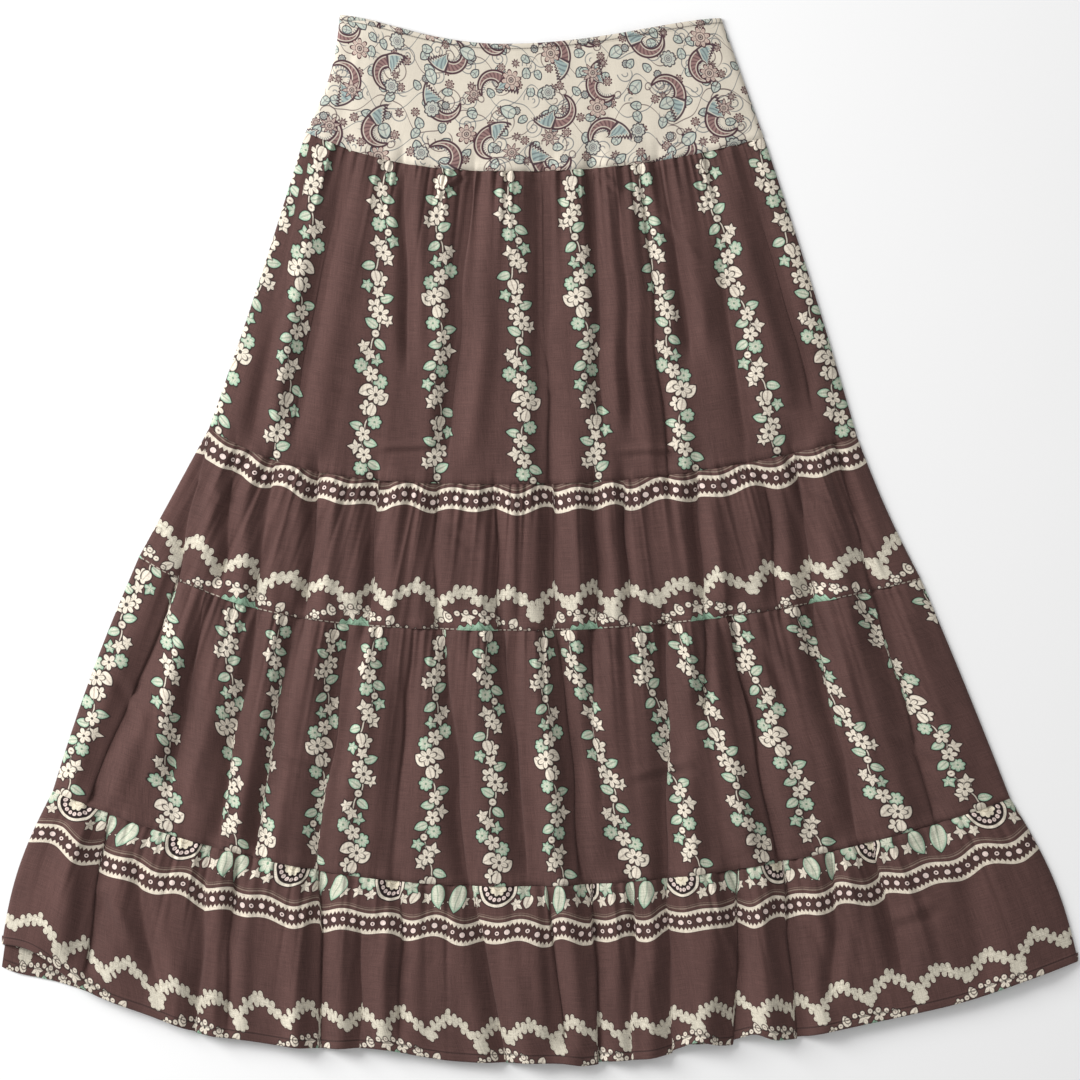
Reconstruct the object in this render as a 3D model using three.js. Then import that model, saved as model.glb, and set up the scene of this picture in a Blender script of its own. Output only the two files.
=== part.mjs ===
// Tiered ruffle skirt, laid flat on its back with its front panels up.
// Millimetres: +X is the viewer's right, +Y runs from hem to waist, +Z is up from the surface under it.

import * as THREE from 'three';

// Cloth and seams
const WALL = 1.5;                  // thickness of every wall of cloth
const SEAM_GAP = 0.32;             // clearance that stands for a stitched seam
const FRONT_REST = WALL + 0.3;     // lowest underside of the front panels, just clear of the back ones
const BAND_STEP = 0.6;             // how far a turned edge stands above the cloth beside it
const WAIST_TURNING = 6;           // depth of the turned waist edge
const HEM_TURNING = 9;             // depth of the turned hem
const SIDE_ROLL = 42;              // width over which the front comes down to the side fold
const SEAM_CALM = 16;              // distance from a seam over which the creases on both sides even out
const BACK_COLUMNS = 32;
const BACK_ROWS = 2;
const BACK_HEM_INSET = 4;          // the back hem lies this far inside the front one

const CREAM = 0xcfc8b4;
const BROWN = 0x694f4b;

// Each row is one line across the skirt: its ends, how far its middle hangs below them, where along it
// hangs lowest (0 left, 1 right), how full the curve is on each side (2 is a parabola), and its easing.
const LINES = {
  waist: {
    left: [-189, 492], right: [170, 488], hang: 25, lowest: 0.44, fullLeft: 1.6, fullRight: 1.9, ease: 1.6,
  },
  yokeSeam: {
    left: [-221, 382], right: [210, 377], hang: 35, lowest: 0.42, fullLeft: 2.4, fullRight: 2.2, ease: 1,
  },
  seamOne: {
    left: [-312, 103], right: [298, 95], hang: 51, lowest: 0.45, fullLeft: 3.5, fullRight: 2.4, ease: 1,
  },
  seamTwo: {
    left: [-378, -18], right: [358, -39], hang: 60, lowest: 0.42, fullLeft: 3.2, fullRight: 2, ease: 1,
  },
  seamThree: {
    left: [-459, -238], right: [442, -245], hang: 86, lowest: 0.46, fullLeft: 2, fullRight: 2.1, ease: 1,
  },
  hem: {
    left: [-507, -391], right: [506, -398], hang: 99, lowest: 0.5, fullLeft: 2.6, fullRight: 1.85, ease: 1,
  },
};

// Each row is one tier: the lines it hangs between, how far its sides bow out, how high its front lies
// above the back at the top and bottom, the height of its gathers and how far down they fade, and its grid.
const TIERS = [
  {
    name: 'yoke', top: 'waist', bottom: 'yokeSeam', bowLeft: -7, bowRight: 0,
    loftTop: 0.6, loftBottom: 1.8, gatherHeight: 0, gatherReach: 1, columns: 24, rows: 4, colour: CREAM,
  },
  {
    name: 'tier_1', top: 'yokeSeam', bottom: 'seamOne', bowLeft: -2, bowRight: 2,
    loftTop: 1.8, loftBottom: 4.4, gatherHeight: 1, gatherReach: 70, columns: 60, rows: 8, colour: BROWN,
  },
  {
    name: 'tier_2', top: 'seamOne', bottom: 'seamTwo', bowLeft: 0, bowRight: -3,
    loftTop: 4.4, loftBottom: 4.8, gatherHeight: 1.5, gatherReach: 150, columns: 72, rows: 5, colour: BROWN,
  },
  {
    name: 'tier_3', top: 'seamTwo', bottom: 'seamThree', bowLeft: 4, bowRight: 1,
    loftTop: 4.8, loftBottom: 5.2, gatherHeight: 1.5, gatherReach: 90, columns: 76, rows: 7, colour: BROWN,
  },
  {
    name: 'tier_4', top: 'seamThree', bottom: 'hem', bowLeft: 8, bowRight: 9,
    loftTop: 5.2, loftBottom: 6.4, gatherHeight: 1.6, gatherReach: 90, columns: 76, rows: 6, colour: BROWN,
  },
];

// Each row is one main crease of a tier: where it starts and ends from the centre line, its half width,
// its depth, the lip that stands beside it (less than 0 on the left, more on the right), and the share of
// the tier's height where it begins and ends.
const CREASES = {
  yoke: [],
  tier_1: [
    { top: -209, bottom: -274, half: 10, depth: 3, lip: 0, from: 0.55, to: 1 },
    { top: -183, bottom: -240, half: 11, depth: 4, lip: -1.5, from: 0, to: 0.9 },
    { top: -128, bottom: -123, half: 7, depth: 3, lip: 1.5, from: 0, to: 0.6 },
    { top: -61, bottom: -89, half: 12, depth: 4.4, lip: 2, from: 0, to: 0.9 },
    { top: 1, bottom: 8, half: 13, depth: 3.6, lip: -1.5, from: 0, to: 1 },
    { top: 49, bottom: 62, half: 8, depth: 4, lip: 2, from: 0, to: 0.8 },
    { top: 73, bottom: 89, half: 7, depth: 2, lip: 1, from: 0.1, to: 0.8 },
    { top: 93, bottom: 120, half: 9, depth: 3, lip: -1.5, from: 0.1, to: 1 },
    { top: 112, bottom: 162, half: 8, depth: 3.4, lip: 1.5, from: 0, to: 0.6 },
    { top: 155, bottom: 197, half: 10, depth: 2.4, lip: 1, from: 0.3, to: 1 },
    { top: 190, bottom: 265, half: 11, depth: 4, lip: -2, from: 0, to: 0.85 },
  ],
  tier_2: [
    { top: -312, bottom: -340, half: 10, depth: 4.6, lip: 2.4, from: 0, to: 1 },
    { top: -285, bottom: -300, half: 8, depth: 2.6, lip: 1, from: 0, to: 0.9 },
    { top: -250, bottom: -268, half: 8, depth: 3, lip: 1, from: 0, to: 1 },
    { top: -208, bottom: -221, half: 9, depth: 4.2, lip: 2, from: 0, to: 1 },
    { top: -152, bottom: -162, half: 10, depth: 4.6, lip: 2.2, from: 0, to: 1 },
    { top: -97, bottom: -100, half: 8, depth: 3.4, lip: -1, from: 0, to: 1 },
    { top: -44, bottom: -40, half: 8, depth: 3, lip: -1, from: 0, to: 1 },
    { top: 12, bottom: 13, half: 11, depth: 5, lip: 2.2, from: 0, to: 1 },
    { top: 49, bottom: 53, half: 9, depth: 4.2, lip: -1.4, from: 0, to: 1 },
    { top: 79, bottom: 84, half: 7, depth: 2.8, lip: 1, from: 0, to: 1 },
    { top: 148, bottom: 154, half: 9, depth: 4.2, lip: 1.6, from: 0, to: 1 },
    { top: 208, bottom: 224, half: 8, depth: 3, lip: -1, from: 0.1, to: 1 },
    { top: 238, bottom: 258, half: 11, depth: 4.8, lip: 2, from: 0, to: 1 },
    { top: 276, bottom: 310, half: 9, depth: 3.8, lip: -1.4, from: 0, to: 1 },
  ],
  tier_3: [
    { top: -340, bottom: -428, half: 12, depth: 5, lip: -2.6, from: 0, to: 1 },
    { top: -315, bottom: -352, half: 10, depth: 4.4, lip: 1.6, from: 0, to: 0.8 },
    { top: -264, bottom: -304, half: 10, depth: 3.4, lip: 1, from: 0, to: 1 },
    { top: -231, bottom: -270, half: 10, depth: 4.4, lip: 1.8, from: 0, to: 1 },
    { top: -178, bottom: -212, half: 12, depth: 5, lip: 2.2, from: 0, to: 1 },
    { top: -122, bottom: -142, half: 12, depth: 3, lip: -1, from: 0.2, to: 1 },
    { top: -90, bottom: -68, half: 11, depth: 4.4, lip: 1.8, from: 0, to: 1 },
    { top: -34, bottom: -10, half: 12, depth: 4.8, lip: 2, from: 0, to: 1 },
    { top: 15, bottom: 37, half: 11, depth: 5, lip: -2, from: 0, to: 1 },
    { top: 46, bottom: 62, half: 10, depth: 3.8, lip: 1.4, from: 0, to: 0.7 },
    { top: 118, bottom: 121, half: 12, depth: 5, lip: 2, from: 0, to: 1 },
    { top: 154, bottom: 156, half: 8, depth: 3.6, lip: -1.4, from: 0, to: 0.35 },
    { top: 172, bottom: 226, half: 12, depth: 5, lip: -3, from: 0, to: 1 },
    { top: 254, bottom: 300, half: 12, depth: 4.8, lip: 1.8, from: 0, to: 1 },
    { top: 312, bottom: 372, half: 14, depth: 5, lip: -1.8, from: 0, to: 1 },
  ],
  tier_4: [
    { top: -406, bottom: -432, half: 13, depth: 5, lip: -2.6, from: 0, to: 0.9 },
    { top: -388, bottom: -352, half: 10, depth: 3.2, lip: 1, from: 0.15, to: 0.8 },
    { top: -310, bottom: -324, half: 10, depth: 3, lip: 1, from: 0, to: 1 },
    { top: -288, bottom: -295, half: 8, depth: 3.6, lip: -1, from: 0, to: 0.95 },
    { top: -208, bottom: -208, half: 12, depth: 5.4, lip: -3, from: 0, to: 1 },
    { top: -166, bottom: -170, half: 12, depth: 3.4, lip: 1.4, from: 0.3, to: 1 },
    { top: -132, bottom: -133, half: 8, depth: 3, lip: -1, from: 0, to: 0.9 },
    { top: -64, bottom: -32, half: 12, depth: 4.4, lip: 1.8, from: 0, to: 1 },
    { top: 5, bottom: 25, half: 11, depth: 4.4, lip: -1.6, from: 0, to: 0.9 },
    { top: 48, bottom: 54, half: 13, depth: 5.4, lip: -3, from: 0, to: 1 },
    { top: 88, bottom: 86, half: 10, depth: 3, lip: 1, from: 0, to: 1 },
    { top: 118, bottom: 124, half: 12, depth: 5, lip: 1.8, from: 0, to: 1 },
    { top: 186, bottom: 180, half: 13, depth: 5.4, lip: -3, from: 0, to: 1 },
    { top: 228, bottom: 240, half: 13, depth: 5.4, lip: -2.8, from: 0, to: 1 },
    { top: 276, bottom: 274, half: 8, depth: 3, lip: 1, from: 0, to: 0.8 },
    { top: 312, bottom: 350, half: 12, depth: 4.2, lip: 1.6, from: 0, to: 0.75 },
    { top: 388, bottom: 420, half: 14, depth: 3.2, lip: 0, from: 0.3, to: 0.9 },
  ],
};

// Each row is one wave of the front hem line: its place from the centre line, half width and drop.
const HEM_WAVES = [
  { at: -478, half: 36, drop: -17 },
  { at: -320, half: 34, drop: 4 },
  { at: -155, half: 50, drop: -8 },
  { at: 42, half: 14, drop: 3 },
  { at: 147, half: 22, drop: -11 },
  { at: 199, half: 18, drop: -11 },
  { at: 400, half: 60, drop: 3 },
];

const mix = (a, b, share) => a + (b - a) * share;
const bell = (offset, half) => Math.exp(-((offset / half) ** 2));

// A point of a line, at a share of the way from its left end to its right end.
function linePoint(line, across) {
  const onLeft = across < line.lowest;
  const nearness = onLeft ? across / line.lowest : (1 - across) / (1 - line.lowest);
  const fullness = onLeft ? line.fullLeft : line.fullRight;
  const sag = (1 - (1 - nearness) ** fullness) ** line.ease;
  const x = mix(line.left[0], line.right[0], across);
  const y = mix(line.left[1], line.right[1], across) - line.hang * sag;
  return new THREE.Vector2(x, y);
}

const tierDrop = (tier) => LINES[tier.top].left[1] - LINES[tier.bottom].left[1];

function hemDrop(x) {
  return HEM_WAVES.reduce((drop, wave) => drop + wave.drop * bell(x - wave.at, wave.half), 0);
}

// The back hem hangs just past the front one at the left corner, and lies hidden inside it elsewhere.
function backHemLift(across) {
  return BACK_HEM_INSET * (Math.sin(Math.PI * across) - 1.4 * bell(across - 0.05, 0.05));
}

// The place of a tier's cloth seen from above; seams take half the clearance from each side.
function planPoint(tier, across, down, isFront) {
  const high = linePoint(LINES[tier.top], across);
  const low = linePoint(LINES[tier.bottom], across);
  if (tier.bottom === 'hem') low.y += isFront ? -hemDrop(low.x) : backHemLift(across);
  if (tier.top !== 'waist') high.y -= SEAM_GAP / 2;
  if (tier.bottom !== 'hem') low.y += SEAM_GAP / 2;
  const point = high.lerp(low, down);
  const bulge = Math.sin(Math.PI * down);
  point.x += bulge * (tier.bowRight * across ** 6 - tier.bowLeft * (1 - across) ** 6);
  return point;
}

// A crease fades in and out over a tenth of the tier's height on each side of its end.
function creaseStrength(crease, down) {
  const { smoothstep } = THREE.MathUtils;
  const fade = 0.1;
  const begun = crease.from === 0 ? 1 : smoothstep(down, crease.from - fade, crease.from + fade);
  const ended = crease.to === 1 ? 0 : smoothstep(down, crease.to - fade, crease.to + fade);
  return begun * (1 - ended);
}

function ownCreases(tier, x, down) {
  let height = 0;
  for (const crease of CREASES[tier.name]) {
    const offset = x - mix(crease.top, crease.bottom, down);
    const lipOffset = offset - 1.7 * crease.half * Math.sign(crease.lip);
    const lip = Math.abs(crease.lip) * bell(lipOffset, crease.half);
    const trough = crease.depth * bell(offset, crease.half);
    height += (lip - trough) * creaseStrength(crease, down);
  }
  return height;
}

// Towards a seam the creases of both tiers settle at one height, halfway between their own.
function creaseHeight(tier, x, down) {
  const above = TIERS.find((other) => other.bottom === tier.top);
  const below = TIERS.find((other) => other.top === tier.bottom);
  let height = ownCreases(tier, x, down);
  if (above) {
    const step = ownCreases(above, x, 1) - ownCreases(tier, x, 0);
    height += 0.5 * step * bell(down * tierDrop(tier), SEAM_CALM);
  }
  if (below) {
    const step = ownCreases(below, x, 0) - ownCreases(tier, x, 1);
    height += 0.5 * step * bell((1 - down) * tierDrop(tier), SEAM_CALM);
  }
  return height;
}

function frontUnderside(tier, column, down, point) {
  const across = column / tier.columns;
  const width = LINES[tier.bottom].right[0] - LINES[tier.bottom].left[0];
  const sideDistance = Math.min(across, 1 - across) * width;
  const roll = Math.sin(Math.min(1, sideDistance / SIDE_ROLL) * Math.PI / 2);
  const loft = mix(tier.loftTop, tier.loftBottom, down);
  const gatherSide = column % 2 === 0 ? 1 : -1;
  const gather = gatherSide * tier.gatherHeight * Math.exp(-down * tierDrop(tier) / tier.gatherReach);
  const height = (loft + creaseHeight(tier, point.x, down) + gather) * roll;
  return FRONT_REST + Math.max(0, height);
}

// Even rows down a tier, with a pair close together where a turned edge ends.
function rowPlaces(tier) {
  const drop = tierDrop(tier);
  const places = Array.from({ length: tier.rows + 1 }, (_, row) => row / tier.rows);
  if (tier.top === 'waist') places.push(WAIST_TURNING / drop, (WAIST_TURNING + BAND_STEP) / drop);
  if (tier.bottom === 'hem') places.push(1 - HEM_TURNING / drop, 1 - (HEM_TURNING + BAND_STEP) / drop);
  return places.sort((a, b) => a - b);
}

function turnedEdge(tier, down) {
  const drop = tierDrop(tier);
  const atWaist = tier.top === 'waist' && down * drop <= WAIST_TURNING + 0.01;
  const atHem = tier.bottom === 'hem' && (1 - down) * drop <= HEM_TURNING + 0.01;
  return atWaist || atHem ? BAND_STEP : 0;
}

// A closed wall between two grids of points, which run in rows from the left end to the right.
function closedWall(outer, inner, rows, columns) {
  const stride = columns + 1;
  const inside = (rows + 1) * stride;
  const indices = [];
  const quad = (a, b, c, d) => indices.push(a, b, c, a, c, d);
  for (let row = 0; row < rows; row += 1) {
    for (let column = 0; column < columns; column += 1) {
      const a = row * stride + column;
      const d = a + stride;
      quad(a, d, d + 1, a + 1);
      quad(inside + a, inside + a + 1, inside + d + 1, inside + d);
    }
    const left = row * stride;
    const right = left + columns;
    quad(left, inside + left, inside + left + stride, left + stride);
    quad(right, right + stride, inside + right + stride, inside + right);
  }
  for (let column = 0; column < columns; column += 1) {
    const high = column;
    const low = rows * stride + column;
    quad(high, high + 1, inside + high + 1, inside + high);
    quad(low, inside + low, inside + low + 1, low + 1);
  }
  const geometry = new THREE.BufferGeometry();
  const points = [...outer, ...inner].flatMap((point) => [point.x, point.y, point.z]);
  geometry.setAttribute('position', new THREE.Float32BufferAttribute(points, 3));
  geometry.setIndex(indices);
  return geometry;
}

function frontWall(tier) {
  const places = rowPlaces(tier);
  const outer = [];
  const inner = [];
  for (const down of places) {
    for (let column = 0; column <= tier.columns; column += 1) {
      const plan = planPoint(tier, column / tier.columns, down, true);
      const under = frontUnderside(tier, column, down, plan);
      outer.push(new THREE.Vector3(plan.x, plan.y, under + WALL + turnedEdge(tier, down)));
      inner.push(new THREE.Vector3(plan.x, plan.y, under));
    }
  }
  return closedWall(outer, inner, places.length - 1, tier.columns);
}

function backWall(tier) {
  const outer = [];
  const inner = [];
  for (let row = 0; row <= BACK_ROWS; row += 1) {
    for (let column = 0; column <= BACK_COLUMNS; column += 1) {
      const plan = planPoint(tier, column / BACK_COLUMNS, row / BACK_ROWS, false);
      outer.push(new THREE.Vector3(plan.x, plan.y, WALL));
      inner.push(new THREE.Vector3(plan.x, plan.y, 0));
    }
  }
  return closedWall(outer, inner, BACK_ROWS, BACK_COLUMNS);
}

function clothMesh(name, geometry, colour) {
  const material = new THREE.MeshStandardMaterial({ color: colour, roughness: 0.85, metalness: 0 });
  const mesh = new THREE.Mesh(geometry, material);
  mesh.name = name;
  return mesh;
}

// The skirt is moved so that the middle of its outline lies on the origin.
function centred(group) {
  const middle = new THREE.Box3().setFromObject(group).getCenter(new THREE.Vector3());
  group.children.forEach((mesh) => mesh.geometry.translate(-middle.x, -middle.y, 0));
  return group;
}

const skirt = new THREE.Group();
for (const tier of TIERS) {
  skirt.add(clothMesh(`${tier.name}_front`, frontWall(tier), tier.colour));
  skirt.add(clothMesh(`${tier.name}_back`, backWall(tier), tier.colour));
}

export default centred(skirt);
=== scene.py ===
import math

import bmesh
import bpy
import numpy as np
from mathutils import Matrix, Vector


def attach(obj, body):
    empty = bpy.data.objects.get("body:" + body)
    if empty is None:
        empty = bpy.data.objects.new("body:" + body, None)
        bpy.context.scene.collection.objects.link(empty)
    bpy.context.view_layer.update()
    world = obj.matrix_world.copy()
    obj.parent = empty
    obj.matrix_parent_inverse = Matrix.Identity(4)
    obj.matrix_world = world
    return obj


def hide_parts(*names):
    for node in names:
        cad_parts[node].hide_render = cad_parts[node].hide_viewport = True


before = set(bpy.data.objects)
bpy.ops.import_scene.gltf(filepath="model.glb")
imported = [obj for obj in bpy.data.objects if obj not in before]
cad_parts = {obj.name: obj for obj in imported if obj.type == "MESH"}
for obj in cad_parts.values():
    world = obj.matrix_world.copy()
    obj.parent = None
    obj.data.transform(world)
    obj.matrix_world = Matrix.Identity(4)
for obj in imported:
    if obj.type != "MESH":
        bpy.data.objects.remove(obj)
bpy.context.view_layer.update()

bl_info = {
    "name": "Tiered Ruffle Skirt",
    "version": (1, 0, 0),
    "blender": (4, 5, 0),
    "location": "View3D > Sidebar > Skirt",
    "description": "Sews a tiered skirt of printed voile, laid flat, on its construction model",
    "category": "Add Mesh",
}

MM = 0.001
SEED = 11

# Each row is one line across the skirt: its ends, how far its middle hangs below them, where along it
# hangs lowest, how full the curve is on each side of that place, and its easing. Millimetres.
LINES = {
    "waist": dict(left=(-189, 492), right=(170, 489), hang=26, lowest=0.42, full=(2, 2), ease=1.6),
    "yoke_seam": dict(left=(-221, 382), right=(210, 377), hang=35, lowest=0.42, full=(2.4, 2.2), ease=1),
    "seam_one": dict(left=(-312, 103), right=(298, 95), hang=49, lowest=0.45, full=(3.5, 2), ease=1),
    "seam_two": dict(left=(-378, -18), right=(358, -39), hang=60, lowest=0.42, full=(3.2, 2), ease=1),
    "seam_three": dict(left=(-459, -238), right=(442, -245), hang=86, lowest=0.46, full=(2, 2.1), ease=1),
    "hem": dict(left=(-507, -391), right=(506, -398), hang=99, lowest=0.5, full=(2.6, 1.85), ease=1),
}

# Each row is one tier: its lines, how far its sides bow out, how high its front lies above the back at
# the top and bottom, the depth of the cloth between its seams, the number and height of its gathers,
# how far down they fade, the number of its long wrinkles, the width of cloth cut for one side, in
# metres, and the columns and rows of its grid.
TIERS = {
    "yoke": dict(top="waist", bottom="yoke_seam", bow=(-7, 0), loft=(0.6, 1.8), depth=120,
                 gathers=0, height=0, reach=1, streaks=14, cut=0.40, columns=260, rows=84),
    "tier_1": dict(top="yoke_seam", bottom="seam_one", bow=(-2, 2), loft=(1.8, 4.4), depth=294,
                   gathers=76, height=2.1, reach=52, streaks=70, cut=0.66, columns=560, rows=150),
    "tier_2": dict(top="seam_one", bottom="seam_two", bow=(0, -3), loft=(4.4, 4.8), depth=137,
                   gathers=104, height=2, reach=100, streaks=60, cut=0.86, columns=680, rows=90),
    "tier_3": dict(top="seam_two", bottom="seam_three", bow=(4, 1), loft=(4.8, 5.2), depth=238,
                   gathers=110, height=2, reach=70, streaks=90, cut=1.16, columns=720, rows=124),
    "tier_4": dict(top="seam_three", bottom="hem", bow=(8, 9), loft=(5.2, 6.4), depth=165,
                   gathers=104, height=1.9, reach=70, streaks=80, cut=1.32, columns=760, rows=104),
}

# Each row is one main crease: where it starts and ends from the centre line, its half width and depth,
# the lip beside it (on the left if negative), and the share of the height where it begins and ends.
CREASES = {
    "yoke": [],
    "tier_1": [
        (-209, -274, 10, 3, 0, 0.55, 1), (-183, -240, 11, 4, -1.5, 0, 0.9),
        (-128, -123, 7, 3, 1.5, 0, 0.6), (-61, -89, 12, 4.4, 2, 0, 0.9),
        (1, 8, 13, 3.6, -1.5, 0, 1), (49, 62, 8, 4, 2, 0, 0.8),
        (73, 89, 7, 2, 1, 0.1, 0.8), (93, 120, 9, 3, -1.5, 0.1, 1),
        (112, 162, 8, 3.4, 1.5, 0, 0.6), (155, 197, 10, 2.4, 1, 0.3, 1),
        (190, 265, 11, 4, -2, 0, 0.85),
    ],
    "tier_2": [
        (-312, -340, 10, 4.6, 2.4, 0, 1), (-285, -300, 8, 2.6, 1, 0, 0.9),
        (-250, -268, 8, 3, 1, 0, 1), (-208, -221, 9, 4.2, 2, 0, 1),
        (-152, -162, 10, 4.6, 2.2, 0, 1), (-97, -100, 8, 3.4, -1, 0, 1),
        (-44, -40, 8, 3, -1, 0, 1), (12, 13, 11, 5, 2.2, 0, 1),
        (49, 53, 9, 4.2, -1.4, 0, 1), (79, 84, 7, 2.8, 1, 0, 1),
        (148, 154, 9, 4.2, 1.6, 0, 1), (208, 224, 8, 3, -1, 0.1, 1),
        (238, 258, 11, 4.8, 2, 0, 1), (276, 310, 9, 3.8, -1.4, 0, 1),
    ],
    "tier_3": [
        (-340, -428, 12, 5, -2.6, 0, 1), (-315, -352, 10, 4.4, 1.6, 0, 0.8),
        (-264, -304, 10, 3.4, 1, 0, 1), (-231, -270, 10, 4.4, 1.8, 0, 1),
        (-178, -212, 12, 5, 2.2, 0, 1), (-122, -142, 12, 3, -1, 0.2, 1),
        (-90, -68, 11, 4.4, 1.8, 0, 1), (-34, -10, 12, 4.8, 2, 0, 1),
        (17, 37, 11, 5.6, -3, 0, 1), (46, 62, 10, 3.8, 1.4, 0, 0.7),
        (118, 121, 12, 5.4, 2.4, 0, 1), (154, 156, 8, 3.6, -1.4, 0, 0.35),
        (174, 222, 12, 5.8, -3.4, 0, 1), (254, 300, 12, 4.8, 1.8, 0, 1),
        (312, 372, 14, 5, -1.8, 0, 1),
    ],
    "tier_4": [
        (-406, -432, 13, 5, -2.6, 0, 0.9), (-388, -352, 10, 3.2, 1, 0.15, 0.8),
        (-310, -324, 10, 3, 1, 0, 1), (-288, -295, 8, 3.6, -1, 0, 0.95),
        (-208, -208, 12, 5.4, -3, 0, 1), (-166, -170, 12, 3.4, 1.4, 0.3, 1),
        (-132, -133, 8, 3, -1, 0, 0.9), (-64, -32, 12, 4.4, 1.8, 0, 1),
        (5, 25, 11, 4.4, -1.6, 0, 0.9), (48, 54, 13, 5.4, -3, 0, 1),
        (88, 86, 10, 3, 1, 0, 1), (118, 124, 12, 5, 1.8, 0, 1),
        (186, 180, 13, 5.4, -3, 0, 1), (228, 240, 13, 5.4, -2.8, 0, 1),
        (276, 274, 8, 3, 1, 0, 0.8), (312, 350, 12, 4.2, 1.6, 0, 0.75),
        (388, 420, 14, 3.2, 0, 0.3, 0.9),
    ],
}

# Each row is one short slanting fold: where it starts and ends, its half width and its depth.
SHORT_FOLDS = {
    "yoke": [(-180, 486, -142, 481, 2.2, 1.8), (-176, 470, -186, 420, 4, 1), (150, 470, 178, 430, 5, 0.9)],
    "tier_1": [
        (-148, 80, -98, 82, 3.4, 1.8), (78, 77, 134, 79, 3.4, 1.8), (44, 349, 70, 325, 2.6, 1.8),
        (-92, 320, -70, 341, 2.6, 1.8), (-60, 350, -14, 334, 3, 1.2), (110, 300, 140, 262, 4, 1.4),
        (-190, 140, -150, 120, 5, 1.4), (196, 130, 236, 118, 5, 1.6), (-20, 160, 24, 132, 6, 1.2),
    ],
    "tier_2": [(-330, 60, -300, 30, 4, 1.6), (250, 40, 290, 20, 4, 1.4), (-90, 10, -60, -14, 4, 1.2)],
    "tier_3": [
        (-400, -130, -380, -180, 5, 1.8), (200, -90, 232, -150, 6, 2.2), (40, -60, 60, -110, 4, 1.6),
        (-240, -210, -196, -226, 5, 1.6), (90, -230, 140, -218, 5, 1.6), (330, -190, 372, -214, 5, 1.6),
    ],
    "tier_4": [
        (-110, -330, -88, -372, 6, 2.4), (10, -330, 40, -380, 6, 2.4), (-420, -330, -396, -372, 6, 2),
        (230, -330, 262, -380, 6, 2), (330, -370, 372, -352, 6, 1.6),
    ],
}

# Each row is one wave of the front hem line: its place from the centre line, half width and drop.
HEM_WAVES = [
    (-478, 36, -17), (-320, 34, 4), (-155, 50, -8), (42, 14, 3), (147, 22, -11), (199, 18, -11), (400, 60, 3),
]

# Each row is one wave of the back hem line: its place and half width as shares of the hem, and its rise.
BACK_WAVES = [(0, 0.04, -12.5), (0.352, 0.03, 5), (0.63, 0.022, 5.5), (0.69, 0.03, 8)]

# Each row is one printed vine: its place from the centre line at the tier's top and bottom.
VINES = {
    "tier_1": [
        (-232, -309), (-207, -248), (-144, -166), (-94, -97), (-30, -12), (26, 56), (92, 141), (150, 224),
        (204, 290),
    ],
    "tier_3": [
        (-369, -449), (-344, -352), (-291, -289), (-243, -262), (-195, -214), (-153, -180), (-95, -106),
        (-50, -43), (0, 19), (25, 90), (90, 148), (127, 211), (180, 263), (237, 340), (294, 412),
    ],
}

# Sizes of the prints and the folds, in millimetres.
VINE_SPACING = 80
VINE_HALF = 15
VINE_MARGIN = 60
STEM_SWAY = 4.6
SEAM_CALM = 16
SEAM_DIP = 1.3
SIDE_ROLL = 42
SIDE_EDGE = 5
WAIST_TURNING = 6
HEM_TURNING = 9
REST = 1.8 + 1.5
FRONT_CLEAR = 1.2
FRONT_LOWEST = 1.2
EDGE_REST = 0.9
BACK_REST = 0.9
BACK_WAVE = 0.9
LAP_TUCK = 7
# Each row is one line of a turned edge's hidden strip: how far in from the edge, and how far under it.
WAIST_STRIP = [(5, 0.6), (1.5, 0.5)]
HEM_STRIP = [(1.2, 0.6), (4, 0.8), (8, 0.8)]

# The share of the way down over which a crease fades, how much deeper than its row it is made, and the
# share of its depth that stands up on both its sides.
CREASE_FADE = 0.1
CREASE_DEEPER = 1.5
CREASE_BANK = 0.32

CLOTH_NAMES = {
    "yoke": "paisley cotton", "tier_1": "vine voile", "tier_2": "border voile", "tier_3": "vine voile",
    "tier_4": "hem voile",
}


def srgb(red, green, blue):
    """A printed colour from its screen values, as the shader wants it."""
    return tuple(((value / 255 + 0.055) / 1.055) ** 2.4 if value > 10 else value / 3294
                 for value in (red, green, blue))


def size_of(name, description, value, **more):
    """A size or share that the maker can change."""
    return bpy.props.FloatProperty(name=name, description=description, default=value, **more)


def colour_of(name, description, *screen_values):
    """A colour that the maker can change."""
    return bpy.props.FloatVectorProperty(
        name=name, description=description, subtype="COLOR", default=srgb(*screen_values))


class SkirtCloth(bpy.types.PropertyGroup):
    """Sizes of the cloth and its folds."""

    fold_sharpness: size_of("Fold sharpness", "How narrow the laps are next to the main creases", 0.5)
    gather_share: size_of("Gather height", "Multiplies the height of every gather", 1.0)
    ripple_height: size_of("Ripple height", "Height of slow ripples between creases", 0.0006, unit="LENGTH")
    back_gap: size_of("Back height", "Height of the back panels above the surface", 0.0007, unit="LENGTH")


class SkirtColours(bpy.types.PropertyGroup):
    """Colours of the cloth and its print."""

    ground: colour_of("Brown ground", "Voile of the tiers", 88, 63, 59)
    cream: colour_of("Cream", "Flowers and bands", 224, 214, 197)
    mint: colour_of("Mint", "Leaves and roses", 150, 181, 157)
    outline: colour_of("Outline", "Dark line round the motifs", 42, 32, 31)
    yoke_ground: colour_of("Yoke ground", "Cream cotton of the yoke", 215, 206, 190)


class SkirtStudio(bpy.types.PropertyGroup):
    """Light and camera of the studio."""

    camera_height: size_of("Camera height", "Height of the camera above the floor", 4.0, unit="LENGTH")
    field: size_of("Field", "Width of floor that the picture shows", 1.0152, unit="LENGTH")
    key_strength: size_of("Key light", "Power of the large soft light on the left", 116.0)
    fill_strength: size_of("Surrounding light", "Strength of the even light from all round", 0.52)


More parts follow.
